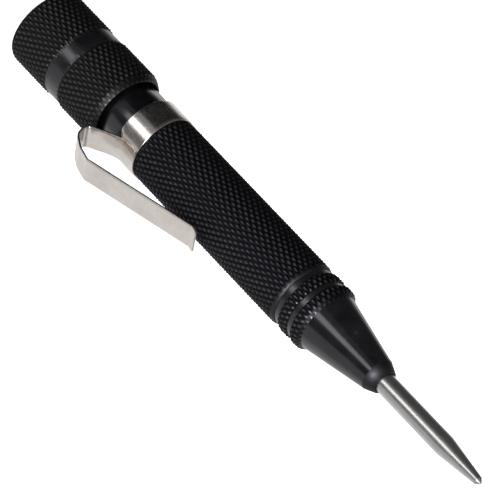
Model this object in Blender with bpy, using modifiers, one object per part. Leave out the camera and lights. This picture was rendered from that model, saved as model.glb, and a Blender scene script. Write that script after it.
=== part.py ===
"""Automatic centre punch: a knurled barrel with a screwed nose, a spring-driven hammer with a trip block,
a sprung punch point, a knurled adjusting cap and a pocket clip.

The tool stands on its cap's flat end with its point up. The origin is the centre of that face, +Z runs along
the tool towards the point, and the clip is on the +X side. Lengths below are in millimetres.
"""
import math

import bmesh
import bpy
from mathutils import Vector

MM = 0.001
STEPS = 48                      # facets round a turned piece
COIL_STEPS = 12                 # points on each turn of a coil spring

# driving dimensions, in millimetres
TOTAL_LENGTH = 126.5            # cap end to point
GAP = 0.1                       # clearance between faces that meet on the axis
PLUNGE = 8.0                    # travel of the point before the hammer trips
TRIP_SHIFT = 1.0                # side travel of the trip block over that plunge

# adjusting cap
CAP_LENGTH = 25.0
CAP_R = 8.2                     # over the knurl
CAP_END_R = 7.3                 # flat end face
CAP_END_WALL = 3.0
CAP_THREAD_R = 6.05             # bore over the barrel's rear thread
CAP_MOUTH_R = 7.05              # counterbore that passes the neck
CAP_MOUTH_DEPTH = 6.0
CAP_LIP_LENGTH = 2.1            # smooth rounded end beyond the knurl
CAP_LIP_R = 7.3
CAP_LIP_CURVE = 1.5             # how late the lip falls away: 1 is a straight chamfer
CAP_LIP_POINTS = 5
BAND_START = 10.4               # smooth recessed band round the cap
BAND_END = 14.3
BAND_DEPTH = 0.3

# barrel
BARREL_R = 7.0                  # over the knurl
BARREL_SHOULDER = 36.0          # end of the knurl, against the clip's band
BARREL_END = 80.3
BARREL_REAR = 8.0
NECK_R = 6.6
NECK_START = 22.2
REAR_THREAD_R = 5.9
HAMMER_BORE_R = 4.45
RELIEF_R = 5.45                 # wide part of the taper that pushes the trip block across
RELIEF_START = 57.0
FRONT_BORE_R = 5.9
FRONT_BORE_START = 63.2
GROOVE_R = 6.5                  # floor of both grooves at the front
GROOVE_START = 76.9
GROOVE_END = 78.1
EDGE = 0.25                     # small chamfers

# nose piece
NOSE_SPIGOT_R = 5.8
NOSE_REAR = 66.3
NOSE_LAND_START = 81.5
NOSE_LAND_END = 82.8
CONE_START = 84.0
CONE_START_R = 6.1
CONE_END = 97.8
CONE_END_R = 3.4
NOSE_END = 99.9
NOSE_END_R = 2.5
NOSE_BORE_R = 4.4
HOLDER_BORE_R = 2.9
HOLDER_BORE_END = 93.0
POINT_BORE_R = 2.12

# punch point and its holder
POINT_R = 2.0
POINT_REAR = 82.8
TAPER_START = 116.6
TAPER_END = 125.7
TAPER_END_R = 0.86
HOLDER_REAR = 74.7
HOLDER_HUB_R = 2.3
COLLAR_R = 4.2
COLLAR_LENGTH = 3.2
HOLDER_SHANK_R = 2.75
HOLDER_FRONT = 92.8
SOCKET_R = 2.1
SOCKET_BOTTOM = 82.6

# trip pin, guide bush and hammer
PIN_R = 1.45
PIN_REAR = 61.2
PIN_FRONT = 78.9
PIN_HOLE_R = 1.57
BUSH_BORE_R = 1.7
HAMMER_R = 4.33
HAMMER_REAR = 43.0
HAMMER_FRONT = 63.1
HAMMER_SPIGOT_R = 2.3
HAMMER_SPIGOT = 3.5
HAMMER_BORE_BOTTOM = 54.5
HAMMER_PIN_BORE_R = 1.75

# trip block, its slot through the hammer and its leaf spring
SLOT_REAR = 56.9
SLOT_FRONT = 61.0
SLOT_HALF_WIDTH = 2.2
SLOT_BACK = -3.5
BLOCK_HALF_WIDTH = 2.05
BLOCK_BACK = -1.9
BLOCK_ROUND_R = 4.28
BLOCK_HOLE_R = 1.6
LEAF_HALF_LENGTH = 1.9
LEAF_BOW = 0.25
LEAF_THICKNESS = 0.2

# springs
MAIN_WIRE = 1.5
MAIN_MEAN_R = 3.35
MAIN_TURNS = 14.0
RETURN_WIRE = 0.8
RETURN_MEAN_R = 3.3
RETURN_TURNS = 7.0
SEAT_R = 5.7
SEAT_THICKNESS = 1.5
SEAT_SPIGOT_R = 2.2
SEAT_SPIGOT = 3.4

# pocket clip
CLIP_SHEET = 0.4
CLIP_BAND_IN_R = 6.7
CLIP_BAND_START = 30.3
CLIP_BAND_END = 35.9
CLIP_WIDTH = 5.5
CLIP_MID_R = CLIP_BAND_IN_R + CLIP_SHEET / 2
CLIP_FOLD_GAP = 0.3             # where the sprung arm is parted from the stem
# corners of the sheet's middle line as (radius from the axis, height, bend radius)
STEM_START_R = CLIP_MID_R + 0.1
STEM_CORNERS = ((STEM_START_R, 34.0, 0.0), (STEM_START_R, 32.2, 2.0), (8.0, 28.9, 4.0), (9.9, 25.5, 0.9))
FOLD_POINT = (10.9, 25.75)
ARM_CORNERS = ((12.5, 26.15, 1.5), (14.2, 29.3, 4.0), (14.85, 32.2, 0.8), (8.4, 54.4, 4.0), (8.75, 56.4, 0.0))


def clear_scene():
    for obj in list(bpy.data.objects):
        bpy.data.objects.remove(obj, do_unlink=True)


def make_collection(name):
    collection = bpy.data.collections.new(name)
    bpy.context.scene.collection.children.link(collection)
    return collection


def make_material(name, colour, roughness, metallic):
    material = bpy.data.materials.new(name)
    material.use_nodes = True
    shader = material.node_tree.nodes["Principled BSDF"]
    shader.inputs["Base Color"].default_value = (*colour, 1.0)
    shader.inputs["Roughness"].default_value = roughness
    shader.inputs["Metallic"].default_value = metallic
    material.diffuse_color = (*colour, 1.0)
    return material


def add_object(name, data, material, collection, parent=None):
    obj = bpy.data.objects.new(name, data)
    data.materials.append(material)
    collection.objects.link(obj)
    if parent is not None:
        obj.parent = parent
        obj.matrix_parent_inverse = parent.matrix_world.inverted()
    return obj


def add_axis(name, location, collection, parent=None):
    """An empty on a joint's axis, which carries the pieces that move together."""
    empty = bpy.data.objects.new(name, None)
    empty.empty_display_size = 5 * MM
    collection.objects.link(empty)
    empty.location = Vector(location) * MM
    if parent is not None:
        empty.parent = parent
        empty.matrix_parent_inverse = parent.matrix_world.inverted()
    bpy.context.view_layer.update()
    return empty


def turned(name, profile, closed, material, collection, parent=None):
    """A turned piece from its (radius, height) profile, which runs down the outer side."""
    mesh = bpy.data.meshes.new(name)
    points = [(radius * MM, 0.0, height * MM) for radius, height in profile]
    count = len(points)
    edges = [(i, i + 1) for i in range(count - 1)]
    if closed:
        edges.append((count - 1, 0))
    mesh.from_pydata(points, edges, [])
    obj = add_object(name, mesh, material, collection, parent)
    screw = obj.modifiers.new("turn", "SCREW")
    screw.axis = "Z"
    screw.steps = STEPS
    screw.render_steps = STEPS
    screw.use_merge_vertices = True
    screw.merge_threshold = 0.000001
    screw.use_smooth_shade = True
    return obj


def arc(centre, radius, start, end, count):
    """Points on an arc in the profile plane, angles in degrees from +X towards +Z."""
    angles = [math.radians(start + (end - start) * i / count) for i in range(count + 1)]
    return [(centre[0] + radius * math.cos(a), centre[1] + radius * math.sin(a)) for a in angles]


def rounded_path(corners, segments=6):
    """A polyline through the corners, each (x, z, bend radius) turned into a short arc."""
    points = [Vector(corners[0][:2])]
    for before, corner, after in zip(corners, corners[1:], corners[2:]):
        here = Vector(corner[:2])
        back = (Vector(before[:2]) - here).normalized()
        ahead = (Vector(after[:2]) - here).normalized()
        half = back.angle(ahead) / 2
        radius = corner[2]
        if radius == 0.0:
            points.append(here)
            continue
        centre = here + (back + ahead).normalized() * radius / math.sin(half)
        first = here + back * radius / math.tan(half) - centre
        last = here + ahead * radius / math.tan(half) - centre
        sweep = first.angle_signed(last)
        for i in range(segments + 1):
            turn = -sweep * i / segments
            c, s = math.cos(turn), math.sin(turn)
            points.append(centre + Vector((c * first.x - s * first.y, s * first.x + c * first.y)))
    points.append(Vector(corners[-1][:2]))
    return points


def bent_strip(name, path, width, thickness, material, collection, parent=None):
    """A strip of sheet that follows a path in the XZ plane and is as wide as stated along Y."""
    bm = bmesh.new()
    verts = [bm.verts.new((x * MM, -width / 2 * MM, z * MM)) for x, z in path]
    edges = [bm.edges.new(pair) for pair in zip(verts, verts[1:])]
    extruded = bmesh.ops.extrude_edge_only(bm, edges=edges)["geom"]
    moved = [item for item in extruded if isinstance(item, bmesh.types.BMVert)]
    bmesh.ops.translate(bm, verts=moved, vec=(0.0, width * MM, 0.0))
    bmesh.ops.recalc_face_normals(bm, faces=bm.faces)
    mesh = bpy.data.meshes.new(name)
    bm.to_mesh(mesh)
    bm.free()
    obj = add_object(name, mesh, material, collection, parent)
    solidify = obj.modifiers.new("sheet", "SOLIDIFY")
    solidify.thickness = thickness * MM
    solidify.offset = 0.0
    return obj


def coil_spring(name, bottom, top, mean_r, wire, turns, material, collection):
    """A round-wire spring with one closed turn at each end, between two heights."""
    low = bottom + wire / 2
    high = top - wire / 2
    closed_rise = wire * 1.08
    open_turns = turns - 2.0
    count = int(turns * COIL_STEPS)
    curve = bpy.data.curves.new(name, "CURVE")
    curve.dimensions = "3D"
    curve.bevel_depth = wire / 2 * MM
    curve.bevel_resolution = 2
    curve.use_fill_caps = True
    spline = curve.splines.new("POLY")
    spline.points.add(count)
    for i in range(count + 1):
        turn = i / COIL_STEPS
        rise_before = closed_rise * min(turn, 1.0)
        rise_after = closed_rise * max(turn - (turns - 1.0), 0.0)
        middle = min(max(turn - 1.0, 0.0), open_turns) / open_turns
        height = low + rise_before + rise_after + middle * (high - low - 2 * closed_rise)
        angle = 2 * math.pi * turn
        x = mean_r * math.cos(angle)
        y = mean_r * math.sin(angle)
        spline.points[i].co = (x * MM, y * MM, height * MM, 1.0)
    return add_object(name, curve, material, collection)


def box_cutter(name, low, high, collection):
    """A box between two corners that is only used to cut other pieces."""
    mesh = bpy.data.meshes.new(name)
    bm = bmesh.new()
    bmesh.ops.create_cube(bm, size=1.0)
    size = [(b - a) * MM for a, b in zip(low, high)]
    centre = [(a + b) / 2 * MM for a, b in zip(low, high)]
    bmesh.ops.scale(bm, verts=bm.verts, vec=size)
    bmesh.ops.translate(bm, verts=bm.verts, vec=centre)
    bm.to_mesh(mesh)
    bm.free()
    cutter = bpy.data.objects.new(name, mesh)
    cutter.hide_render = True
    cutter.display_type = "WIRE"
    collection.objects.link(cutter)
    return cutter


def boolean(obj, other, operation):
    modifier = obj.modifiers.new(other.name, "BOOLEAN")
    modifier.operation = operation
    modifier.solver = "EXACT"
    modifier.object = other


def build_cap(material, collection, parent):
    lip_start = CAP_LENGTH - CAP_LIP_LENGTH
    mouth_start = CAP_LENGTH - CAP_MOUTH_DEPTH
    end_round = CAP_R - CAP_END_R
    profile = [(0.0, CAP_END_WALL), (CAP_THREAD_R, CAP_END_WALL), (CAP_THREAD_R, mouth_start)]
    profile += [(CAP_MOUTH_R, mouth_start), (CAP_MOUTH_R, CAP_LENGTH)]
    for i in range(CAP_LIP_POINTS + 1):
        along = 1.0 - i / CAP_LIP_POINTS
        drop = (CAP_R - CAP_LIP_R) * along ** CAP_LIP_CURVE
        profile.append((CAP_R - drop, lip_start + CAP_LIP_LENGTH * along))
    profile += [(CAP_R, BAND_END + BAND_DEPTH), (CAP_R - BAND_DEPTH, BAND_END)]
    profile += [(CAP_R - BAND_DEPTH, BAND_START), (CAP_R, BAND_START - BAND_DEPTH)]
    profile += arc((CAP_END_R, end_round), end_round, 0.0, -90.0, 4)
    profile += [(0.0, 0.0)]
    return turned("adjusting_cap", profile, False, material, collection, parent)


def build_spring_seat(material, collection, parent):
    low = CAP_END_WALL + GAP
    face = low + SEAT_THICKNESS
    top = face + SEAT_SPIGOT
    profile = [(0.0, top), (SEAT_SPIGOT_R - EDGE, top), (SEAT_SPIGOT_R, top - EDGE), (SEAT_SPIGOT_R, face)]
    profile += [(SEAT_R - EDGE, face), (SEAT_R, face - EDGE), (SEAT_R, low + EDGE), (SEAT_R - EDGE, low)]
    profile += [(0.0, low)]
    return turned("spring_seat", profile, False, material, collection, parent)


def build_barrel(material, collection):
    bevel = 1.0
    profile = [(BARREL_R - EDGE, BARREL_END), (BARREL_R, BARREL_END - EDGE)]
    profile += [(BARREL_R, GROOVE_END + EDGE), (BARREL_R - EDGE, GROOVE_END), (GROOVE_R, GROOVE_END)]
    profile += [(GROOVE_R, GROOVE_START), (GROOVE_R + 0.1, GROOVE_START), (BARREL_R, GROOVE_START - bevel)]
    profile += [(BARREL_R, BARREL_SHOULDER + EDGE), (BARREL_R - EDGE, BARREL_SHOULDER)]
    profile += [(NECK_R, BARREL_SHOULDER), (NECK_R, NECK_START + EDGE), (NECK_R - EDGE, NECK_START)]
    profile += [(REAR_THREAD_R, NECK_START), (REAR_THREAD_R, BARREL_REAR + EDGE)]
    profile += [(REAR_THREAD_R - EDGE, BARREL_REAR), (HAMMER_BORE_R, BARREL_REAR)]
    profile += [(HAMMER_BORE_R, RELIEF_START - PLUNGE), (RELIEF_R, RELIEF_START)]
    profile += [(RELIEF_R, FRONT_BORE_START), (FRONT_BORE_R, FRONT_BORE_START), (FRONT_BORE_R, BARREL_END)]
    return turned("barrel", profile, True, material, collection)


def build_nose(material, collection):
    land_front = (BARREL_R - EDGE / 2, NOSE_LAND_END + EDGE)
    profile = [(NOSE_END_R, NOSE_END), (CONE_END_R, CONE_END), (CONE_START_R, CONE_START)]
    profile += [land_front, (BARREL_R, NOSE_LAND_END), (BARREL_R, NOSE_LAND_START + EDGE)]
    profile += [(BARREL_R - EDGE, NOSE_LAND_START), (GROOVE_R, NOSE_LAND_START)]
    profile += [(GROOVE_R, BARREL_END + GAP), (NOSE_SPIGOT_R, BARREL_END + GAP)]
    profile += [(NOSE_SPIGOT_R, NOSE_REAR + EDGE), (NOSE_SPIGOT_R - EDGE, NOSE_REAR), (NOSE_BORE_R, NOSE_REAR)]
    profile += [(NOSE_BORE_R, CONE_START), (HOLDER_BORE_R, CONE_START), (HOLDER_BORE_R, HOLDER_BORE_END)]
    profile += [(POINT_BORE_R, HOLDER_BORE_END), (POINT_BORE_R, NOSE_END)]
    return turned("nose_piece", profile, True, material, collection)


def build_guide_bush(material, collection):
    low = FRONT_BORE_START + GAP
    high = NOSE_REAR - GAP
    profile = [(NOSE_SPIGOT_R - EDGE, high), (NOSE_SPIGOT_R, high - EDGE), (NOSE_SPIGOT_R, low + EDGE)]
    profile += [(NOSE_SPIGOT_R - EDGE, low), (BUSH_BORE_R, low), (BUSH_BORE_R, high)]
    return turned("guide_bush", profile, True, material, collection)


def build_punch_point(material, collection, parent):
    profile = [(0.0, TOTAL_LENGTH), (TAPER_END_R, TAPER_END), (POINT_R, TAPER_START)]
    profile += [(POINT_R, POINT_REAR + EDGE), (POINT_R - EDGE, POINT_REAR), (0.0, POINT_REAR)]
    return turned("punch_point", profile, False, material, collection, parent)


def build_point_holder(material, collection, parent):
    collar_front = CONE_START - GAP
    collar_rear = collar_front - COLLAR_LENGTH
    profile = [(0.0, SOCKET_BOTTOM), (SOCKET_R, SOCKET_BOTTOM), (SOCKET_R, HOLDER_FRONT)]
    profile += [(HOLDER_SHANK_R - EDGE, HOLDER_FRONT), (HOLDER_SHANK_R, HOLDER_FRONT - EDGE)]
    profile += [(HOLDER_SHANK_R, collar_front), (COLLAR_R - EDGE, collar_front), (COLLAR_R, collar_front - EDGE)]
    profile += [(COLLAR_R, collar_rear + EDGE), (COLLAR_R - EDGE, collar_rear), (HOLDER_HUB_R, collar_rear)]
    profile += [(HOLDER_HUB_R, HOLDER_REAR + EDGE), (HOLDER_HUB_R - EDGE, HOLDER_REAR)]
    profile += [(PIN_HOLE_R, HOLDER_REAR), (PIN_HOLE_R, PIN_FRONT + GAP), (0.0, PIN_FRONT + GAP)]
    return turned("point_holder", profile, False, material, collection, parent)


def build_trip_pin(material, collection, parent):
    profile = [(0.0, PIN_FRONT), (PIN_R, PIN_FRONT), (PIN_R, PIN_REAR + EDGE), (PIN_R - EDGE, PIN_REAR)]
    profile += [(0.0, PIN_REAR)]
    return turned("trip_pin", profile, False, material, collection, parent)


def build_hammer(material, collection, cutters, parent):
    spigot_end = HAMMER_REAR - HAMMER_SPIGOT
    profile = [(0.0, HAMMER_BORE_BOTTOM), (HAMMER_PIN_BORE_R, HAMMER_BORE_BOTTOM)]
    profile += [(HAMMER_PIN_BORE_R, HAMMER_FRONT), (HAMMER_R - EDGE, HAMMER_FRONT)]
    profile += [(HAMMER_R, HAMMER_FRONT - EDGE), (HAMMER_R, HAMMER_REAR + EDGE), (HAMMER_R - EDGE, HAMMER_REAR)]
    profile += [(HAMMER_SPIGOT_R, HAMMER_REAR), (HAMMER_SPIGOT_R, spigot_end + EDGE)]
    profile += [(HAMMER_SPIGOT_R - EDGE, spigot_end), (0.0, spigot_end)]
    hammer = turned("hammer", profile, False, material, collection, parent)
    low = (SLOT_BACK, -SLOT_HALF_WIDTH, SLOT_REAR)
    high = (HAMMER_R + 1.0, SLOT_HALF_WIDTH, SLOT_FRONT)
    boolean(hammer, box_cutter("trip_block_slot", low, high, cutters), "DIFFERENCE")
    return hammer


def build_trip_block(material, collection, parent):
    """A flat block with a round outer end and a cross hole that sits off the axis until it is pushed in."""
    half_angle = math.degrees(math.asin(BLOCK_HALF_WIDTH / BLOCK_ROUND_R))
    outline = arc((TRIP_SHIFT, 0.0), BLOCK_ROUND_R, -half_angle, half_angle, 10)
    outline += [(BLOCK_BACK, BLOCK_HALF_WIDTH), (BLOCK_BACK, -BLOCK_HALF_WIDTH)]
    hole = arc((TRIP_SHIFT, 0.0), BLOCK_HOLE_R, 0.0, 345.0, 23)
    curve = bpy.data.curves.new("trip_block", "CURVE")
    curve.dimensions = "2D"
    curve.fill_mode = "BOTH"
    curve.extrude = (SLOT_FRONT - SLOT_REAR - 2 * GAP) / 2 * MM
    for points in (outline, hole):
        spline = curve.splines.new("POLY")
        spline.points.add(len(points) - 1)
        spline.use_cyclic_u = True
        for point, (x, y) in zip(spline.points, points):
            point.co = (x * MM, y * MM, 0.0, 1.0)
    block = add_object("trip_block", curve, material, collection, parent)
    block.location.z = (SLOT_REAR + SLOT_FRONT) / 2 * MM
    return block


def build_trip_spring(material, collection, parent):
    """A bowed leaf at the back of the slot, drawn as it lies with the block pushed home."""
    ends_x = SLOT_BACK + GAP + LEAF_THICKNESS / 2
    radius = (LEAF_HALF_LENGTH ** 2 + LEAF_BOW ** 2) / (2 * LEAF_BOW)
    half_angle = math.degrees(math.asin(LEAF_HALF_LENGTH / radius))
    path = arc((ends_x + LEAF_BOW - radius, 0.0), radius, -half_angle, half_angle, 8)
    height = SLOT_FRONT - SLOT_REAR - 1.2
    leaf = bent_strip("trip_spring", path, height, LEAF_THICKNESS, material, collection, parent)
    leaf.rotation_euler.x = math.radians(-90.0)
    leaf.location.z = (SLOT_REAR + SLOT_FRONT) / 2 * MM
    return leaf


def build_clip(material, collection, band_parent, fold_parent):
    """One piece of sheet on the real tool: the band with its stem, and the arm that springs at the fold."""
    fold = Vector(FOLD_POINT)
    stem_end = fold - (fold - Vector(STEM_CORNERS[-1][:2])).normalized() * CLIP_FOLD_GAP / 2
    arm_start = fold + (Vector(ARM_CORNERS[0][:2]) - fold).normalized() * CLIP_FOLD_GAP / 2
    outer_r = CLIP_BAND_IN_R + CLIP_SHEET
    ring = [(outer_r, CLIP_BAND_END), (outer_r, CLIP_BAND_START)]
    ring += [(CLIP_BAND_IN_R, CLIP_BAND_START), (CLIP_BAND_IN_R, CLIP_BAND_END)]
    band = turned("clip_band", ring, True, material, collection, band_parent)
    stem_path = rounded_path(STEM_CORNERS + ((*stem_end, 0.0),))
    stem = bent_strip("clip_stem", stem_path, CLIP_WIDTH, CLIP_SHEET, material, collection, band_parent)
    boolean(band, stem, "UNION")
    arm_path = rounded_path(((*arm_start, 0.0),) + ARM_CORNERS)
    arm = bent_strip("clip_arm", arm_path, CLIP_WIDTH, CLIP_SHEET, material, collection, fold_parent)
    return band, stem, arm


def main():
    clear_scene()
    parts = make_collection("centre_punch")
    cutters = make_collection("cutters")
    black = (0.035, 0.036, 0.042)
    steel = (0.55, 0.54, 0.52)

    barrel_finish = make_material("barrel", black, 0.38, 0.6)
    cap_finish = make_material("adjusting_cap", black, 0.38, 0.6)
    nose_finish = make_material("nose_piece", black, 0.25, 0.6)
    clip_band_finish = make_material("clip_band", (0.75, 0.73, 0.70), 0.2, 1.0)
    clip_arm_finish = make_material("clip_arm", (0.75, 0.73, 0.70), 0.2, 1.0)
    point_finish = make_material("punch_point", (0.60, 0.59, 0.57), 0.25, 1.0)
    holder_finish = make_material("point_holder", steel, 0.35, 1.0)
    pin_finish = make_material("trip_pin", steel, 0.25, 1.0)
    hammer_finish = make_material("hammer", (0.40, 0.39, 0.38), 0.35, 1.0)
    block_finish = make_material("trip_block", (0.45, 0.44, 0.43), 0.3, 1.0)
    leaf_finish = make_material("trip_spring", (0.35, 0.36, 0.40), 0.3, 1.0)
    bush_finish = make_material("guide_bush", (0.50, 0.49, 0.47), 0.35, 1.0)
    seat_finish = make_material("spring_seat", (0.50, 0.49, 0.47), 0.35, 1.0)
    main_spring_finish = make_material("main_spring", (0.30, 0.30, 0.31), 0.35, 1.0)
    return_spring_finish = make_material("return_spring", (0.50, 0.50, 0.50), 0.3, 1.0)

    plunge_axis = add_axis("plunge_axis", (0.0, 0.0, CONE_START), parts)
    hammer_axis = add_axis("hammer_axis", (0.0, 0.0, HAMMER_FRONT), parts)
    block_axis = add_axis("block_axis", (0.0, 0.0, (SLOT_REAR + SLOT_FRONT) / 2), parts, hammer_axis)
    seat_axis = add_axis("seat_axis", (0.0, 0.0, CAP_END_WALL), parts)
    cap_axis = add_axis("cap_axis", (0.0, 0.0, 0.0), parts, seat_axis)
    band_axis = add_axis("band_axis", (0.0, 0.0, CLIP_BAND_START), parts)
    fold_axis = add_axis("fold_axis", (FOLD_POINT[0], 0.0, FOLD_POINT[1]), parts, band_axis)

    build_barrel(barrel_finish, parts)
    build_nose(nose_finish, parts)
    build_guide_bush(bush_finish, parts)
    build_cap(cap_finish, parts, cap_axis)
    build_spring_seat(seat_finish, parts, seat_axis)
    build_punch_point(point_finish, parts, plunge_axis)
    build_point_holder(holder_finish, parts, plunge_axis)
    build_trip_pin(pin_finish, parts, plunge_axis)
    build_hammer(hammer_finish, parts, cutters, hammer_axis)
    build_trip_block(block_finish, parts, block_axis)
    build_trip_spring(leaf_finish, parts, hammer_axis)
    band, stem, arm = build_clip(clip_band_finish, parts, band_axis, fold_axis)
    arm.data.materials[0] = clip_arm_finish
    parts.objects.unlink(stem)
    cutters.objects.link(stem)
    stem.hide_render = True
    stem.display_type = "WIRE"

    seat_face = CAP_END_WALL + GAP + SEAT_THICKNESS
    coil_spring("main_spring", seat_face + GAP, HAMMER_REAR - GAP, MAIN_MEAN_R, MAIN_WIRE, MAIN_TURNS,
                main_spring_finish, parts)
    coil_spring("return_spring", NOSE_REAR, CONE_START - GAP - COLLAR_LENGTH - GAP, RETURN_MEAN_R,
                RETURN_WIRE, RETURN_TURNS, return_spring_finish, parts)


main()
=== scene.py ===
"""Looks of the automatic centre punch.

Knurled black barrel and cap, nickel-plated pocket clip, ground steel point.
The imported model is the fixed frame. The tool stands on its cap with +Z towards the point and the clip on +X.
Lengths below are in millimetres, and MM turns them into metres.
"""
import math

import bmesh
import bpy
import numpy as np
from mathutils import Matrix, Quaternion, Vector


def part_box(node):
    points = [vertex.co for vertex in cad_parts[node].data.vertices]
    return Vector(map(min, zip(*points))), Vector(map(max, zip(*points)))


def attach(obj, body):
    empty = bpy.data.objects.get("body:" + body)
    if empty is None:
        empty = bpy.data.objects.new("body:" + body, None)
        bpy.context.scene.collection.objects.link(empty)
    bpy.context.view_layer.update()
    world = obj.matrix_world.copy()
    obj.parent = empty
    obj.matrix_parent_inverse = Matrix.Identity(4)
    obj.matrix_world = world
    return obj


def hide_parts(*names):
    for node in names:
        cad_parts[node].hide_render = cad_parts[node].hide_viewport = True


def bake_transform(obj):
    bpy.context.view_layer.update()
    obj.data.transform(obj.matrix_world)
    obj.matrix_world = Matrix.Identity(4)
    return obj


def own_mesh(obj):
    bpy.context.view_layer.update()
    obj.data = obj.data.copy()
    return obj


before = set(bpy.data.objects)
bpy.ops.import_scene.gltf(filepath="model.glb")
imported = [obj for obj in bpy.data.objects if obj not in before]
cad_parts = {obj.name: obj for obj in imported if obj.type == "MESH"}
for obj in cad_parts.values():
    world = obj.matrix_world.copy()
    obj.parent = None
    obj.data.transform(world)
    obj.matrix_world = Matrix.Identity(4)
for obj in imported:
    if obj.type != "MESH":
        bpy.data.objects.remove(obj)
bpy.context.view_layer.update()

MM = 0.001


def top_of(node):
    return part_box(node)[1].z / MM


def bottom_of(node):
    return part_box(node)[0].z / MM


# ---------------------------------------------------------------- sizes, in millimetres
EDGE = 0.25                     # small chamfers
JOINT_LINE = 0.04               # fine line where the nose piece meets the barrel

# diamond knurl: two hands of grooves, as many starts as the pitch allows
KNURL_PERIOD = 2.0              # height of one diamond
KNURL_STEPS = 8                 # mesh cells across one diamond, each way
KNURL_ROW_GAP = 0.2             # share of a step: knurl rows nearer to the outline's own are left out
KNURL_DEPTH = 0.42
KNURL_CREST = 0.05              # share of the depth that the crests are flattened by
PLAIN_CREST = 0.6               # crest value of the stretches without a knurl, read by the finish
TURNED_SHARP_ANGLE = 84.0       # degrees: edges bent more than this are shaded hard
BARREL_STARTS = 37
CAP_STARTS = 43

# adjusting cap
CAP_LENGTH = top_of("adjusting_cap")
CAP_R = 8.2
CAP_END_ROUND = 0.9
CAP_END_WALL = 3.0
CAP_THREAD_R = 6.05
CAP_MOUTH_R = 7.05
CAP_MOUTH_DEPTH = 6.0
CAP_LIP_LENGTH = 2.1
CAP_LIP_DROP = 0.9
CAP_LIP_CURVE = 1.5             # 1 gives a straight chamfer, more makes the lip fall away later
CAP_BAND_START = 10.4
CAP_BAND_END = 14.3
CAP_BAND_DEPTH = 0.3
CAP_ROUND_CELLS = 8
CAP_BAND_CELLS = 5
CAP_LIP_CELLS = 12

# barrel
BARREL_R = 7.0
BARREL_REAR = bottom_of("barrel")
BARREL_END = top_of("barrel")
SHOULDER = 36.0
SHOULDER_MARGIN = 0.01          # keeps the shoulder's own flat face out of the neck's finish
NECK_R = 6.6
NECK_START = 22.2
REAR_THREAD_R = 5.9
HAMMER_BORE_R = 4.45
RELIEF_R = 5.45
RELIEF_REAR = 49.0
RELIEF_START = 57.0
FRONT_BORE_R = 5.9
FRONT_BORE_START = 63.2
GROOVE_R = 6.5
GROOVE_START = 76.9
GROOVE_END = 78.1
GROOVE_BEVEL = 1.0
GROOVE_STEP = 0.1               # step in radius at the foot of the bevel

# nose piece
NOSE_REAR = bottom_of("nose_piece")
NOSE_END = top_of("nose_piece")
SPIGOT_R = 5.8
LAND_START = 81.5
LAND_END = 82.8
CONE_START = 84.0
CONE_START_R = 6.1
CONE_END = 97.8
CONE_END_R = 3.4
CONE_CELLS = 12
CONE_EDGE_ROWS = (0.01, 0.98)   # shares along the cone: rows that keep its edges' smooth shading narrow
NOSE_END_R = 2.5
NOSE_BORE_R = 4.4
HOLDER_BORE_R = 2.9
HOLDER_BORE_END = 93.0
POINT_BORE_R = 2.12

# punch point
POINT_R = 2.0
POINT_REAR = bottom_of("punch_point")
POINT_END = top_of("punch_point")
TAPER_START = 116.6
TAPER_END = 125.7
TAPER_END_R = 0.86
TAPER_CELLS = 8
TIP_R_SHARE = 0.25              # the blunt end narrows to this share of the taper's end, then to nothing
TIP_HEIGHT = 0.08
POINT_ROWS = 20
POINT_COLUMNS = 96
POINT_SHARP_ANGLE = 12.0        # degrees: keeps the edge round the blunt end hard

# pocket clip, one bent piece of sheet
CLIP_SHEET = 0.4
CLIP_BAND_R = 6.9               # middle of the sheet
CLIP_BAND_REAR = 30.3
CLIP_BAND_FRONT = 35.9
CLIP_WIDTH = 5.5
CLIP_ROOT = 31.5                # height where the stem leaves the band
CLIP_NOTCH_REACH = 40.0         # degrees from the stem's middle to where the notch beside it has run out
CLIP_NOTCH_CURVE = 2.2
CLIP_FLAT_BY = 5.0              # length along the sheet over which its curve across flattens out
CLIP_TIP_LENGTH = 0.6           # length of the arm's narrowing end
CLIP_TIP_SHARE = 0.93           # share of the width left at the very end, and the share lost there
CLIP_TIP_LOSS = 0.07
CLIP_EDGE = 0.07                # bevel of the sheet's edges
CLIP_EDGE_ANGLE = 50.0
CLIP_STRIP_CELLS = 12           # cells across the stem and arm
CLIP_BAND_CELLS = 84            # cells round the rest of the band
CLIP_BAND_ROWS = 8
CLIP_BEND_STEP = 0.2            # longest cell round a bend
CLIP_STRAIGHT_STEP = 0.8        # usual cell along a straight run
# corners of the sheet's middle line as (radius from the axis, height, bend radius)
CLIP_PATH = (
    (6.9, CLIP_ROOT, 0.0),
    (8.0, 28.9, 4.0),
    (9.9, 25.5, 1.5),
    (12.5, 26.15, 2.5),
    (14.2, 29.3, 4.0),
    (14.85, 32.2, 0.8),
    (8.4, 54.9, 1.2),
    (8.75, 56.4, 0.0),
)

# springs
MAIN_WIRE = 1.5
MAIN_MEAN_R = 3.35
MAIN_TURNS = 14
MAIN_JOIN_TURN = 6.0            # the turn where the rear length ends
MAIN_JOIN_GAP = 0.01            # share of a turn left open before the front length begins
RETURN_WIRE = 0.8
RETURN_MEAN_R = 3.3
RETURN_TURNS = 7
CLOSED_TURN_RISE = 1.05         # rise of a closed end turn, in wire thicknesses
COIL_SHARP_ANGLE = 60.0


# ---------------------------------------------------------------- meshes
def make_mesh(name, vertices, faces, material, sharp_angle):
    mesh = bpy.data.meshes.new(name)
    mesh.from_pydata([tuple(v) for v in vertices], [], faces)
    mesh.validate()
    mesh.shade_smooth()
    mesh.set_sharp_from_angle(angle=math.radians(sharp_angle))
    obj = bpy.data.objects.new(name, mesh)
    bpy.context.scene.collection.objects.link(obj)
    mesh.materials.append(material)
    return obj


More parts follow.
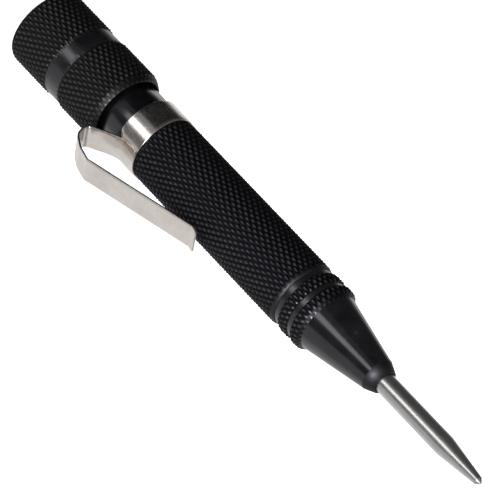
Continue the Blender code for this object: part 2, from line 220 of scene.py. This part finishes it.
def knurl_height(columns, z, starts):
    """Height of a diamond knurl at each column, from 0 in the grooves to 1 on the crests."""
    around = np.arange(columns) * starts / columns
    along = z / KNURL_PERIOD
    hands = []
    for hand in (1.0, -1.0):
        place = around + hand * along
        hands.append(2.0 * np.abs(place - np.round(place)))
    return np.clip(np.minimum(*hands) / (1.0 - KNURL_CREST), 0.0, 1.0)


def plain(*points):
    """Rows of a turned outline that are the same all round, from (radius, height) points."""
    return [(radius, z, None) for radius, z in points]


def knurled(points, crest_r, starts):
    """Rows of a knurled stretch: the outline's points and even steps between, each cut down to the knurl."""
    radii, heights = zip(*points)
    step = KNURL_PERIOD / KNURL_STEPS
    inside = np.arange(math.ceil(heights[0] / step), math.floor(heights[-1] / step) + 1) * step
    steps = [z for z in inside if min(abs(z - h) for h in heights) > KNURL_ROW_GAP * step]
    rows = []
    for z in sorted(list(heights) + steps):
        rows.append((float(np.interp(z, heights, radii)), z, (crest_r, starts)))
    return rows


def lathe(name, rows, columns, material, closed, sharp_angle=TURNED_SHARP_ANGLE):
    """A turned piece from its rows, up the outer side and back down the bore.

    A row is (radius, height, knurl), and a knurl is (crest radius, starts) or None.
    A row of radius 0 is a point.
    The crests' height is kept as a point attribute for the finish, which paints shade into the grooves and a
    glint onto the tips from it.
    """
    angles = np.arange(columns) * 2.0 * math.pi / columns
    circle = np.stack([np.cos(angles), np.sin(angles)], axis=1)
    vertices, crests, rings = [], [], []
    count = 0
    for radius, z, knurl in rows:
        size = columns if radius > 0.0 else 1
        radii = np.full(size, float(radius))
        crest = np.full(size, PLAIN_CREST)
        if knurl is not None:
            crest = knurl_height(columns, z, knurl[1])
            radii = np.minimum(radii, knurl[0] - KNURL_DEPTH * (1.0 - crest))
        xy = circle[:size] * radii[:, None]
        vertices.append(np.column_stack([xy, np.full(size, z)]) * MM)
        crests.append(crest)
        rings.append((count, size, radii))
        count += size
    faces = []
    pairs = list(zip(rings, rings[1:]))
    if closed:
        pairs.append((rings[-1], rings[0]))
    for (low, low_size, low_r), (high, high_size, high_r) in pairs:
        for j in range(columns):
            k = (j + 1) % columns
            if low_size == 1:
                faces.append((low, high + k, high + j))
            elif high_size == 1:
                faces.append((low + j, low + k, high))
            elif abs(low_r[j] - high_r[k]) > abs(low_r[k] - high_r[j]):
                faces.append((low + j, low + k, high + j))
                faces.append((low + k, high + k, high + j))
            elif abs(low_r[j] - high_r[k]) < abs(low_r[k] - high_r[j]):
                faces.append((low + j, low + k, high + k))
                faces.append((low + j, high + k, high + j))
            else:
                faces.append((low + j, low + k, high + k, high + j))
    obj = make_mesh(name, np.concatenate(vertices), faces, material, sharp_angle)
    attribute = obj.data.attributes.new("crest", "FLOAT", "POINT")
    attribute.data.foreach_set("value", np.concatenate(crests).astype(np.float32))
    return obj


def rounded_path(corners, step):
    """Points along a line through (x, z, bend radius) corners, with each corner turned into an arc."""
    points = [Vector(corners[0][:2])]
    for before, corner, after in zip(corners, corners[1:], corners[2:]):
        here = Vector(corner[:2])
        back = (Vector(before[:2]) - here).normalized()
        ahead = (Vector(after[:2]) - here).normalized()
        half = back.angle(ahead) / 2.0
        radius = corner[2]
        centre = here + (back + ahead).normalized() * radius / math.sin(half)
        first = here + back * radius / math.tan(half) - centre
        last = here + ahead * radius / math.tan(half) - centre
        sweep = first.angle_signed(last)
        count = max(4, math.ceil(abs(sweep) * radius / step))
        for i in range(count + 1):
            c, s = math.cos(-sweep * i / count), math.sin(-sweep * i / count)
            points.append(centre + Vector((c * first.x - s * first.y, s * first.x + c * first.y)))
    points.append(Vector(corners[-1][:2]))
    return points


def densify(points, step):
    """The same line with extra points on its long straight runs."""
    dense = [points[0]]
    for a, b in zip(points, points[1:]):
        count = max(1, round((b - a).length / step))
        for i in range(count):
            dense.append(a.lerp(b, (i + 1) / count))
    return dense


def coil_height(along, bottom, top, wire, turns):
    """Height of a spring's wire after some turns; the first and last turn lie closed."""
    rise = wire * CLOSED_TURN_RISE
    low, high = bottom + wire / 2.0, top - wire / 2.0
    height = low + rise * np.minimum(along, 1.0) + rise * np.maximum(along - (turns - 1.0), 0.0)
    return height + np.clip((along - 1.0) / (turns - 2.0), 0.0, 1.0) * (high - low - 2.0 * rise)


def coil(name, bottom, top, mean_r, wire, turns, material, first=0.0, last=None, steps=40, sides=12):
    """A round-wire spring between two heights, or the length of it from one turn to another."""
    last = turns if last is None else last
    middle = np.linspace(first, last, int(round((last - first) * steps)) + 1)
    height = coil_height(middle, bottom, top, wire, turns)
    angle = 2.0 * math.pi * middle
    out = np.stack([np.cos(angle), np.sin(angle), 0.0 * angle], axis=1)
    centre = out * mean_r + height[:, None] * np.array([0.0, 0.0, 1.0])
    vertices = []
    for i in range(sides):
        a = 2.0 * math.pi * i / sides
        vertices.append(centre + wire / 2.0 * (math.cos(a) * out + math.sin(a) * np.array([0.0, 0.0, 1.0])))
    vertices = np.stack(vertices, axis=1).reshape(-1, 3) * MM
    faces = []
    for i in range(len(middle) - 1):
        for j in range(sides):
            a, b = i * sides + j, i * sides + (j + 1) % sides
            faces.append((a, b, b + sides, a + sides))
    faces.append(tuple(reversed(range(sides))))
    faces.append(tuple(range(len(vertices) - sides, len(vertices))))
    return make_mesh(name, vertices, faces, material, COIL_SHARP_ANGLE)


# ---------------------------------------------------------------- materials
class Shader:
    """Node helpers for one material."""

    def __init__(self, name, metallic, roughness):
        self.material = bpy.data.materials.new(name)
        self.material.use_nodes = True
        self.nodes = self.material.node_tree.nodes
        self.links = self.material.node_tree.links
        self.surface = self.nodes["Principled BSDF"]
        self.surface.inputs["Metallic"].default_value = metallic
        self.surface.inputs["Roughness"].default_value = roughness
        self.place = self.nodes.new("ShaderNodeTexCoord").outputs["Object"]

    def stretched(self, scale):
        """The object's own coordinates in millimetres, times a scale for each axis."""
        mapping = self.nodes.new("ShaderNodeMapping")
        mapping.inputs["Scale"].default_value = [s / MM for s in scale]
        self.links.new(self.place, mapping.inputs["Vector"])
        return mapping.outputs["Vector"]

    def noise(self, scale, detail=3.0, roughness=0.55):
        """Noise with features about 1 / scale millimetres across, for each axis."""
        node = self.nodes.new("ShaderNodeTexNoise")
        node.inputs["Scale"].default_value = 1.0
        node.inputs["Detail"].default_value = detail
        node.inputs["Roughness"].default_value = roughness
        self.links.new(self.stretched(scale), node.inputs["Vector"])
        return node.outputs["Fac"]

    def attribute(self, name):
        node = self.nodes.new("ShaderNodeAttribute")
        node.attribute_name = name
        return node.outputs["Fac"]

    def spread(self, value, low, high, new_low, new_high):
        node = self.nodes.new("ShaderNodeMapRange")
        limits = (("From Min", low), ("From Max", high), ("To Min", new_low), ("To Max", new_high))
        for name, number in limits:
            node.inputs[name].default_value = number
        self.links.new(value, node.inputs["Value"])
        return node.outputs["Result"]

    def math(self, operation, first, second):
        node = self.nodes.new("ShaderNodeMath")
        node.operation = operation
        for socket, value in zip(node.inputs, (first, second)):
            if isinstance(value, float):
                socket.default_value = value
            else:
                self.links.new(value, socket)
        return node.outputs["Value"]

    def ramp(self, value, *stops):
        """A colour ramp through (place, colour) stops."""
        node = self.nodes.new("ShaderNodeValToRGB")
        elements = node.color_ramp.elements
        while len(elements) < len(stops):
            elements.new(0.5)
        for element, (place, colour) in zip(elements, stops):
            element.position = place
            element.color = (*colour, 1.0)
        self.links.new(value, node.inputs["Fac"])
        return node.outputs["Color"]

    def bump(self, height, strength, distance_mm):
        node = self.nodes.new("ShaderNodeBump")
        node.inputs["Strength"].default_value = strength
        node.inputs["Distance"].default_value = distance_mm * MM
        self.links.new(height, node.inputs["Height"])
        before = self.surface.inputs["Normal"].links
        if before:
            self.links.new(before[0].from_socket, node.inputs["Normal"])
        self.links.new(node.outputs["Normal"], self.surface.inputs["Normal"])

    def feed(self, name, value):
        self.links.new(value, self.surface.inputs[name])


def black_oxide(name, painted_shade_groove, flank, painted_glint_tip):
    """Blackened steel, with painted shade that makes a knurl's grooves nearly black and a painted glint that
    makes its tips paler; the tips are also glossier.
    """
    s = Shader(name, 1.0, 0.35)
    crest = s.attribute("crest")
    patches = s.noise((0.35, 0.35, 0.35), 2.0)
    # painted light: the knurl's height makes the colour nearly black in the grooves (painted shade) and pale
    # on the tips (a painted glint); the patches add a random tone
    painted_light_and_tone = s.math("ADD", s.math("MULTIPLY", crest, 0.85), s.math("MULTIPLY", patches, 0.15))
    s.feed("Base Color", s.ramp(painted_light_and_tone, (0.30, painted_shade_groove), (0.72, flank), (0.94, painted_glint_tip)))
    speckle = s.noise((6.0, 6.0, 6.0), 4.0)
    tips = s.spread(crest, 0.6, 1.0, 0.0, 0.22)
    s.feed("Roughness", s.math("SUBTRACT", s.spread(speckle, 0.3, 0.7, 0.46, 0.56), tips))
    s.bump(speckle, 0.15, 0.03)
    return s.material


def turned_black(name, low, high, rough_low, rough_high):
    """Smooth turned and blackened steel with fine tool rings, a few pale specks and handling marks."""
    s = Shader(name, 0.0, rough_low)
    s.surface.inputs["IOR"].default_value = 1.7
    s.surface.inputs["Specular Tint"].default_value = (0.94, 0.95, 1.0, 1.0)
    rings = s.noise((0.02, 0.02, 9.0), 2.0)
    patches = s.noise((0.3, 0.3, 0.3), 3.0)
    specks = s.spread(s.noise((1.5, 1.5, 0.9), 2.0, 0.5), 0.74, 0.80, 0.0, 0.3)
    tone = s.math("ADD", s.math("MULTIPLY", patches, 0.7), specks)
    s.feed("Base Color", s.ramp(tone, (0.25, low), (0.5, high), (0.75, (0.10, 0.095, 0.09))))
    wear = s.noise((0.5, 0.5, 0.25), 5.0, 0.7)
    s.feed("Roughness", s.spread(wear, 0.35, 0.7, rough_low, rough_high))
    s.bump(rings, 0.08, 0.01)
    s.bump(s.noise((1.4, 1.4, 0.5), 6.0, 0.75), 0.08, 0.03)
    return s.material


def nickel_plate(name):
    """Nickel-plated spring sheet, slightly warm, with hairline scratches along and across it."""
    s = Shader(name, 1.0, 0.16)
    tone = s.noise((0.22, 0.22, 0.22), 3.0)
    s.feed("Base Color", s.ramp(tone, (0.3, (0.70, 0.640, 0.595)), (0.7, (0.79, 0.740, 0.700))))
    scratches = s.noise((0.25, 7.0, 0.6), 5.0, 0.7)
    across = s.noise((3.0, 0.5, 5.0), 4.0, 0.7)
    both = s.math("MAXIMUM", scratches, across)
    s.feed("Roughness", s.spread(both, 0.45, 0.75, 0.16, 0.32))
    s.bump(both, 0.06, 0.02)
    return s.material


def ground_steel(name, low, high, rough_low, rough_high, ring_depth=0.10):
    """Hardened steel, ground round: fine rings along the axis and a softer mottle."""
    s = Shader(name, 1.0, rough_low)
    rings = s.noise((0.05, 0.05, 14.0), 3.0, 0.6)
    mottle = s.noise((1.2, 1.2, 0.8), 4.0, 0.6)
    tone = s.math("ADD", s.math("MULTIPLY", rings, 0.5), s.math("MULTIPLY", mottle, 0.5))
    s.feed("Base Color", s.ramp(tone, (0.35, low), (0.65, high)))
    s.feed("Roughness", s.spread(tone, 0.35, 0.65, rough_low, rough_high))
    s.bump(rings, ring_depth, 0.01)
    return s.material


# ---------------------------------------------------------------- the body of the tool
def build_cap(material):
    columns = CAP_STARTS * KNURL_STEPS
    floor_r = CAP_R - CAP_BAND_DEPTH
    end_r = CAP_R - CAP_END_ROUND
    lip_start = CAP_LENGTH - CAP_LIP_LENGTH
    rows = plain((0.0, 0.0), (end_r * 0.5, 0.0))
    end_round = []
    for i in range(CAP_ROUND_CELLS + 1):
        a = math.radians(90.0 * i / CAP_ROUND_CELLS)
        end_round.append((end_r + CAP_END_ROUND * math.sin(a), CAP_END_ROUND * (1.0 - math.cos(a))))
    band_low = [(CAP_R, CAP_BAND_START - CAP_BAND_DEPTH), (floor_r, CAP_BAND_START)]
    band_high = [(floor_r, CAP_BAND_END), (CAP_R, CAP_BAND_END + CAP_BAND_DEPTH)]
    rows += knurled(end_round + band_low, CAP_R, CAP_STARTS)
    band_heights = np.linspace(CAP_BAND_START, CAP_BAND_END, CAP_BAND_CELLS + 1)[1:-1]
    rows += plain(*[(floor_r, z) for z in band_heights])
    lip = []
    for i in range(CAP_LIP_CELLS + 1):
        along = i / CAP_LIP_CELLS
        lip.append((CAP_R - CAP_LIP_DROP * along ** CAP_LIP_CURVE, lip_start + CAP_LIP_LENGTH * along))
    rows += knurled(band_high + lip, CAP_R, CAP_STARTS)
    mouth_start = CAP_LENGTH - CAP_MOUTH_DEPTH
    rows += plain((CAP_MOUTH_R, CAP_LENGTH), (CAP_MOUTH_R, mouth_start), (CAP_THREAD_R, mouth_start))
    rows += plain((CAP_THREAD_R, CAP_END_WALL), (0.0, CAP_END_WALL))
    cap = lathe("cap_knurled", rows, columns, material, False)
    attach(cap, "cap")
    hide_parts("adjusting_cap")
    return cap


def build_barrel(material):
    columns = BARREL_STARTS * KNURL_STEPS
    rows = plain((REAR_THREAD_R, BARREL_REAR + EDGE), (REAR_THREAD_R, NECK_START))
    rows += plain((NECK_R - EDGE, NECK_START), (NECK_R, NECK_START + EDGE), (NECK_R, SHOULDER))
    grip = [(BARREL_R - EDGE, SHOULDER), (BARREL_R, SHOULDER + EDGE)]
    grip += [(BARREL_R, GROOVE_START - GROOVE_BEVEL)]
    rows += knurled(grip, BARREL_R, BARREL_STARTS)
    rows += plain((BARREL_R - EDGE / 2, GROOVE_START - GROOVE_BEVEL + EDGE))
    rows += plain((GROOVE_R + GROOVE_STEP, GROOVE_START))
    rows += plain((GROOVE_R, GROOVE_START), (GROOVE_R, GROOVE_END))
    land = [(BARREL_R - EDGE, GROOVE_END), (BARREL_R, GROOVE_END + EDGE)]
    land += [(BARREL_R, BARREL_END - EDGE), (BARREL_R - EDGE, BARREL_END)]
    rows += knurled(land, BARREL_R, BARREL_STARTS)
    rows += plain((FRONT_BORE_R, BARREL_END), (FRONT_BORE_R, FRONT_BORE_START), (RELIEF_R, FRONT_BORE_START))
    rows += plain((RELIEF_R, RELIEF_START), (HAMMER_BORE_R, RELIEF_REAR), (HAMMER_BORE_R, BARREL_REAR))
    rows += plain((REAR_THREAD_R - EDGE, BARREL_REAR))
    barrel = lathe("barrel_knurled", rows, columns, material, True)
    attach(barrel, "barrel")
    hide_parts("barrel")
    return barrel


def build_nose(material):
    columns = BARREL_STARTS * KNURL_STEPS
    joint = BARREL_END + JOINT_LINE
    rows = plain((SPIGOT_R - EDGE, NOSE_REAR), (SPIGOT_R, NOSE_REAR + EDGE), (SPIGOT_R, joint))
    rows += plain((GROOVE_R, joint), (GROOVE_R, LAND_START))
    land = [(BARREL_R - EDGE, LAND_START), (BARREL_R, LAND_START + EDGE)]
    land += [(BARREL_R, LAND_END), (BARREL_R - EDGE / 2, LAND_END + EDGE), (CONE_START_R, CONE_START)]
    rows += knurled(land, BARREL_R, BARREL_STARTS)
    first, last = CONE_EDGE_ROWS
    for along in [first] + list(np.linspace(0.0, 1.0, CONE_CELLS + 1)[1:-1]) + [last, 1.0]:
        radius = CONE_START_R + (CONE_END_R - CONE_START_R) * along
        rows += plain((radius, CONE_START + (CONE_END - CONE_START) * along))
    rows += plain((NOSE_END_R, NOSE_END), (POINT_BORE_R, NOSE_END), (POINT_BORE_R, HOLDER_BORE_END))
    rows += plain((HOLDER_BORE_R, HOLDER_BORE_END), (HOLDER_BORE_R, CONE_START), (NOSE_BORE_R, CONE_START))
    rows += plain((NOSE_BORE_R, NOSE_REAR))
    nose = lathe("nose_knurled", rows, columns, material, True)
    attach(nose, "barrel")
    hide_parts("nose_piece")
    return nose


def build_point(material):
    rows = plain((0.0, POINT_REAR), (POINT_R - EDGE, POINT_REAR), (POINT_R, POINT_REAR + EDGE))
    rows += plain(*[(POINT_R, z) for z in np.linspace(POINT_REAR + EDGE, TAPER_START, POINT_ROWS)[1:]])
    for i in range(1, TAPER_CELLS + 1):
        along = i / TAPER_CELLS
        radius = POINT_R + (TAPER_END_R - POINT_R) * along
        rows += plain((radius, TAPER_START + (TAPER_END - TAPER_START) * along))
    rows += plain((TAPER_END_R * TIP_R_SHARE, POINT_END - TIP_HEIGHT), (0.0, POINT_END))
    point = lathe("point_ground", rows, POINT_COLUMNS, material, False, POINT_SHARP_ANGLE)
    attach(point, "plunger")
    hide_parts("punch_point")


# ---------------------------------------------------------------- clip
def clip_band_rear(angle):
    """Height of the band's rear edge at an angle from the stem: it dips into a notch beside the stem."""
    root = math.asin(CLIP_WIDTH / 2.0 / CLIP_BAND_R)
    reach = math.radians(CLIP_NOTCH_REACH)
    away = min(max((abs(angle) - root) / (reach - root), 0.0), 1.0)
    return CLIP_ROOT + (CLIP_BAND_REAR - CLIP_ROOT) * (1.0 - (1.0 - away) ** CLIP_NOTCH_CURVE)


def build_clip(material):
    """Band, stem, fold and arm as one sheet, bent round at the fold, so nothing parts."""
    bm = bmesh.new()
    root = math.asin(CLIP_WIDTH / 2.0 / CLIP_BAND_R)
    widths = np.linspace(-CLIP_WIDTH / 2.0, CLIP_WIDTH / 2.0, CLIP_STRIP_CELLS + 1)
    strip_angles = [math.asin(y / CLIP_BAND_R) for y in widths]
    around = list(np.linspace(root, 2.0 * math.pi - root, CLIP_BAND_CELLS + 1)[1:-1])
    angles = strip_angles + around
    columns = []
    for angle in angles:
        signed = angle if angle <= math.pi else angle - 2.0 * math.pi
        rear = clip_band_rear(signed)
        column = []
        for i in range(CLIP_BAND_ROWS + 1):
            z = CLIP_BAND_FRONT + (rear - CLIP_BAND_FRONT) * i / CLIP_BAND_ROWS
            x, y = CLIP_BAND_R * math.cos(angle), CLIP_BAND_R * math.sin(angle)
            column.append(bm.verts.new((x * MM, y * MM, z * MM)))
        columns.append(column)
    for a, b in zip(columns, columns[1:] + columns[:1]):
        for i in range(CLIP_BAND_ROWS):
            bm.faces.new((a[i], a[i + 1], b[i + 1], b[i]))
    path = densify(rounded_path(CLIP_PATH, CLIP_BEND_STEP), CLIP_STRAIGHT_STEP)
    lengths = [0.0]
    for a, b in zip(path, path[1:]):
        lengths.append(lengths[-1] + (b - a).length)
    before = [column[-1] for column in columns[:CLIP_STRIP_CELLS + 1]]
    for point, length in list(zip(path, lengths))[1:]:
        hollow = max(0.0, 1.0 - length / CLIP_FLAT_BY)
        to_tip = (lengths[-1] - length) / CLIP_TIP_LENGTH
        narrow = 1.0
        if to_tip < 1.0:
            narrow = CLIP_TIP_SHARE + CLIP_TIP_LOSS * math.sqrt(1.0 - (1.0 - to_tip) ** 2)
        row = []
        for y in widths:
            sag = CLIP_BAND_R - math.sqrt(CLIP_BAND_R ** 2 - y ** 2)
            row.append(bm.verts.new(((point.x - sag * hollow) * MM, y * narrow * MM, point.y * MM)))
        for j in range(CLIP_STRIP_CELLS):
            bm.faces.new((before[j], row[j], row[j + 1], before[j + 1]))
        before = row
    bmesh.ops.recalc_face_normals(bm, faces=bm.faces)
    mesh = bpy.data.meshes.new("clip_formed")
    bm.to_mesh(mesh)
    bm.free()
    mesh.shade_smooth()
    mesh.materials.append(material)
    clip = bpy.data.objects.new("clip_formed", mesh)
    bpy.context.scene.collection.objects.link(clip)
    solid = clip.modifiers.new("sheet", "SOLIDIFY")
    solid.thickness = CLIP_SHEET * MM
    solid.offset = 0.0
    solid.use_even_offset = True
    bevel = clip.modifiers.new("edges", "BEVEL")
    bevel.width = CLIP_EDGE * MM
    bevel.segments = 2
    bevel.limit_method = "ANGLE"
    bevel.angle_limit = math.radians(CLIP_EDGE_ANGLE)
    bevel.harden_normals = False
    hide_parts("clip_band", "clip_arm")
    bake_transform(clip)


# ---------------------------------------------------------------- springs and inner pieces
def build_springs(main_finish, return_finish):
    """The return spring, and the main spring as one coil in two lengths.

    The rear length stays in the model's frame, and the front one is hung on the barrel's body.
    """
    low, high = bottom_of("main_spring"), top_of("main_spring")
    sizes = (low, high, MAIN_MEAN_R, MAIN_WIRE, MAIN_TURNS, main_finish)
    rear = coil("main_spring_rear", *sizes, last=MAIN_JOIN_TURN)
    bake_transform(rear)
    front = coil("main_spring_front", *sizes, first=MAIN_JOIN_TURN + MAIN_JOIN_GAP)
    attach(front, "barrel")
    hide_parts("main_spring")
    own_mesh(front)
    low, high = bottom_of("return_spring"), top_of("return_spring")
    back = coil("return_spring_coil", low, high, RETURN_MEAN_R, RETURN_WIRE, RETURN_TURNS, return_finish)
    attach(back, "barrel")
    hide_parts("return_spring")
    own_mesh(back)


def finish_inner_pieces():
    """The pieces inside keep their CAD shapes and get a machined steel finish each."""
    finishes = {
        "point_holder": ((0.42, 0.41, 0.40), (0.56, 0.55, 0.53), 0.25, 0.40),
        "trip_pin": ((0.50, 0.49, 0.48), (0.62, 0.61, 0.60), 0.14, 0.26),
        "hammer": ((0.28, 0.27, 0.27), (0.42, 0.41, 0.40), 0.26, 0.42),
        "trip_block": ((0.34, 0.33, 0.32), (0.48, 0.47, 0.46), 0.22, 0.36),
        "trip_spring": ((0.20, 0.24, 0.36), (0.36, 0.38, 0.44), 0.18, 0.30),
        "guide_bush": ((0.46, 0.40, 0.30), (0.60, 0.53, 0.40), 0.24, 0.38),
        "spring_seat": ((0.40, 0.39, 0.38), (0.54, 0.53, 0.51), 0.26, 0.40),
    }
    for node, finish in finishes.items():
        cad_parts[node].data.materials[0] = ground_steel(node + "_steel", *finish)


# ---------------------------------------------------------------- floor, light and camera
# angles in degrees, lengths in metres, the lens in millimetres
CAMERA_AZIMUTH = 33.0
CAMERA_ELEVATION = 27.5
CAMERA_ROLL = 136.46
CAMERA_DISTANCE = 0.8896
CAMERA_LENS = 360.0
AIM_HEIGHT = 0.06272
AIM_ASIDE = 0.0011
FLOOR_HALF = 6.0
FLOOR_DROP = 0.0002
CARD_RADIUS = 0.5
CARD_CELLS = 24


def stage_material(name, colour, strength):
    material = bpy.data.materials.new(name)
    material.use_nodes = True
    shader = material.node_tree.nodes["Principled BSDF"]
    shader.inputs["Base Color"].default_value = (*colour, 1.0)
    shader.inputs["Roughness"].default_value = 0.9
    shader.inputs["Emission Color"].default_value = (1.0, 1.0, 1.0, 1.0)
    shader.inputs["Emission Strength"].default_value = strength
    return material


def around_tool(azimuth, radius, height):
    """A place at an angle round the tool from the camera's side, anticlockwise seen from the point."""
    a = math.radians(CAMERA_AZIMUTH + azimuth)
    return Vector((math.sin(a) * radius, -math.cos(a) * radius, height))


def build_floor():
    mesh = bpy.data.meshes.new("floor")
    corners = []
    for x, y in ((-1, -1), (1, -1), (1, 1), (-1, 1)):
        corners.append((x * FLOOR_HALF, y * FLOOR_HALF, -FLOOR_DROP))
    mesh.from_pydata(corners, [], [(0, 1, 2, 3)])
    floor = bpy.data.objects.new("floor", mesh)
    bpy.context.scene.collection.objects.link(floor)
    mesh.materials.append(stage_material("floor_white", (0.8, 0.8, 0.8), 1.0))
    floor.visible_glossy = False
    floor.visible_shadow = False
    floor.visible_diffuse = False


def build_card(name, start, end, radius, low, high, strength):
    """An upright curved card round part of the tool, seen only in reflections."""
    vertices, faces = [], []
    for i in range(CARD_CELLS + 1):
        azimuth = start + (end - start) * i / CARD_CELLS
        vertices.append(around_tool(azimuth, radius, low))
        vertices.append(around_tool(azimuth, radius, high))
        if i:
            faces.append((2 * i - 2, 2 * i, 2 * i + 1, 2 * i - 1))
    mesh = bpy.data.meshes.new(name)
    mesh.from_pydata([tuple(v) for v in vertices], [], faces)
    card = bpy.data.objects.new(name, mesh)
    bpy.context.scene.collection.objects.link(card)
    material = bpy.data.materials.new(name)
    material.use_nodes = True
    shader = material.node_tree.nodes["Principled BSDF"]
    shader.inputs["Base Color"].default_value = (0.0, 0.0, 0.0, 1.0)
    shader.inputs["Specular IOR Level"].default_value = 0.0
    shader.inputs["Roughness"].default_value = 1.0
    shader.inputs["Emission Color"].default_value = (1.0, 1.0, 1.0, 1.0)
    shader.inputs["Emission Strength"].default_value = strength
    mesh.materials.append(material)
    card.visible_camera = False
    card.visible_shadow = False
    card.visible_diffuse = False


def build_light(name, azimuth, radius, height, aim_height, width, length, power):
    data = bpy.data.lights.new(name, "AREA")
    data.shape = "RECTANGLE"
    data.size = width
    data.size_y = length
    data.energy = power
    light = bpy.data.objects.new(name, data)
    bpy.context.scene.collection.objects.link(light)
    light.location = around_tool(azimuth, radius, height)
    aim = Vector((0.0, 0.0, aim_height))
    light.rotation_mode = "QUATERNION"
    light.rotation_quaternion = (aim - light.location).to_track_quat("-Z", "Y")
    light.visible_camera = False


def build_lighting():
    world = bpy.data.worlds.new("studio")
    world.use_nodes = True
    background = world.node_tree.nodes["Background"]
    background.inputs["Color"].default_value = (1.0, 1.0, 1.0, 1.0)
    background.inputs["Strength"].default_value = 0.2
    bpy.context.scene.world = world
    # name, first and last angle round the tool from the camera, lowest and highest edge, brightness
    cards = (
        ("card_dip", 22.0, 50.0, -0.9, 0.45, 0.12),
        ("card_left", 50.0, 100.0, -0.9, 0.45, 0.54),
        ("card_behind", 100.0, 225.0, -0.9, 0.45, 0.82),
        ("card_dark_low", 238.0, 334.0, -0.9, -0.19, 0.012),
        ("card_dark_high", 238.0, 334.0, -0.19, 0.45, 0.07),
    )
    for name, start, end, low, high, strength in cards:
        build_card(name, start, end, CARD_RADIUS, low, high, strength)
    build_light("strip", azimuth=6.5, radius=0.49, height=-0.08, aim_height=0.0,
                width=0.16, length=0.9, power=0.9)
    build_light("sparkle", azimuth=20.0, radius=0.45, height=0.50, aim_height=0.06,
                width=0.09, length=0.09, power=5.5)
    build_light("soft_back", azimuth=190.0, radius=0.9, height=0.35, aim_height=0.06,
                width=0.6, length=0.6, power=1.2)


def build_camera():
    data = bpy.data.cameras.new("camera")
    data.sensor_width = 36.0
    data.lens = CAMERA_LENS
    data.clip_start = 0.05
    data.clip_end = 50.0
    camera = bpy.data.objects.new("camera", data)
    bpy.context.scene.collection.objects.link(camera)
    a, e = math.radians(CAMERA_AZIMUTH), math.radians(CAMERA_ELEVATION)
    back = Vector((math.sin(a) * math.cos(e), -math.cos(a) * math.cos(e), math.sin(e)))
    level = Vector((math.cos(a), math.sin(a), 0.0))
    aim = Vector((0.0, 0.0, AIM_HEIGHT)) + level * AIM_ASIDE
    camera.location = aim + back * CAMERA_DISTANCE
    camera.rotation_mode = "QUATERNION"
    level_view = (-back).to_track_quat("-Z", "Y")
    camera.rotation_quaternion = level_view @ Quaternion((0.0, 0.0, 1.0), math.radians(CAMERA_ROLL))
    bpy.context.scene.camera = camera


# ---------------------------------------------------------------- the scene
# places of the two smooth finishes among the materials of a turned piece
GLOSS = 1
SATIN = 2


def finish_faces(obj, index, low, high):
    """Gives one of a piece's materials to its faces between two heights, in millimetres."""
    for polygon in obj.data.polygons:
        if low < polygon.center.z / MM < high:
            polygon.material_index = index


def main():
    bpy.context.scene.view_settings.view_transform = "Standard"
    # of the three colours of each knurled finish, the first is painted shade in the grooves and the last a
    # painted glint on the tips
    cap_black = black_oxide("cap_black", (0.021, 0.020, 0.020), (0.056, 0.054, 0.053), (0.16, 0.155, 0.15))
    grip_black = black_oxide("grip_black", (0.013, 0.013, 0.017), (0.050, 0.050, 0.056), (0.18, 0.18, 0.19))
    gloss_black = turned_black("gloss_black", (0.002, 0.002, 0.003), (0.007, 0.007, 0.008), 0.12, 0.20)
    satin_black = turned_black("satin_black", (0.003, 0.003, 0.004), (0.008, 0.008, 0.009), 0.22, 0.30)
    cap = build_cap(cap_black)
    barrel = build_barrel(grip_black)
    nose = build_nose(grip_black)
    for obj in (cap, barrel, nose):
        obj.data.materials.append(gloss_black)
        obj.data.materials.append(satin_black)
    finish_faces(cap, SATIN, CAP_BAND_START, CAP_BAND_END)
    finish_faces(barrel, GLOSS, BARREL_REAR, SHOULDER - SHOULDER_MARGIN)
    finish_faces(barrel, SATIN, GROOVE_START, GROOVE_END)
    finish_faces(nose, SATIN, BARREL_END, LAND_START)
    finish_faces(nose, GLOSS, CONE_START, CONE_END)
    build_point(ground_steel("point_steel", (0.57, 0.56, 0.555), (0.63, 0.62, 0.615), 0.26, 0.32, 0.03))
    build_clip(nickel_plate("nickel_plate"))
    build_springs(
        ground_steel("main_spring_steel", (0.20, 0.20, 0.21), (0.33, 0.33, 0.34), 0.25, 0.40),
        ground_steel("return_spring_steel", (0.42, 0.42, 0.42), (0.56, 0.56, 0.56), 0.20, 0.34),
    )
    finish_inner_pieces()
    build_floor()
    build_lighting()
    build_camera()


main()
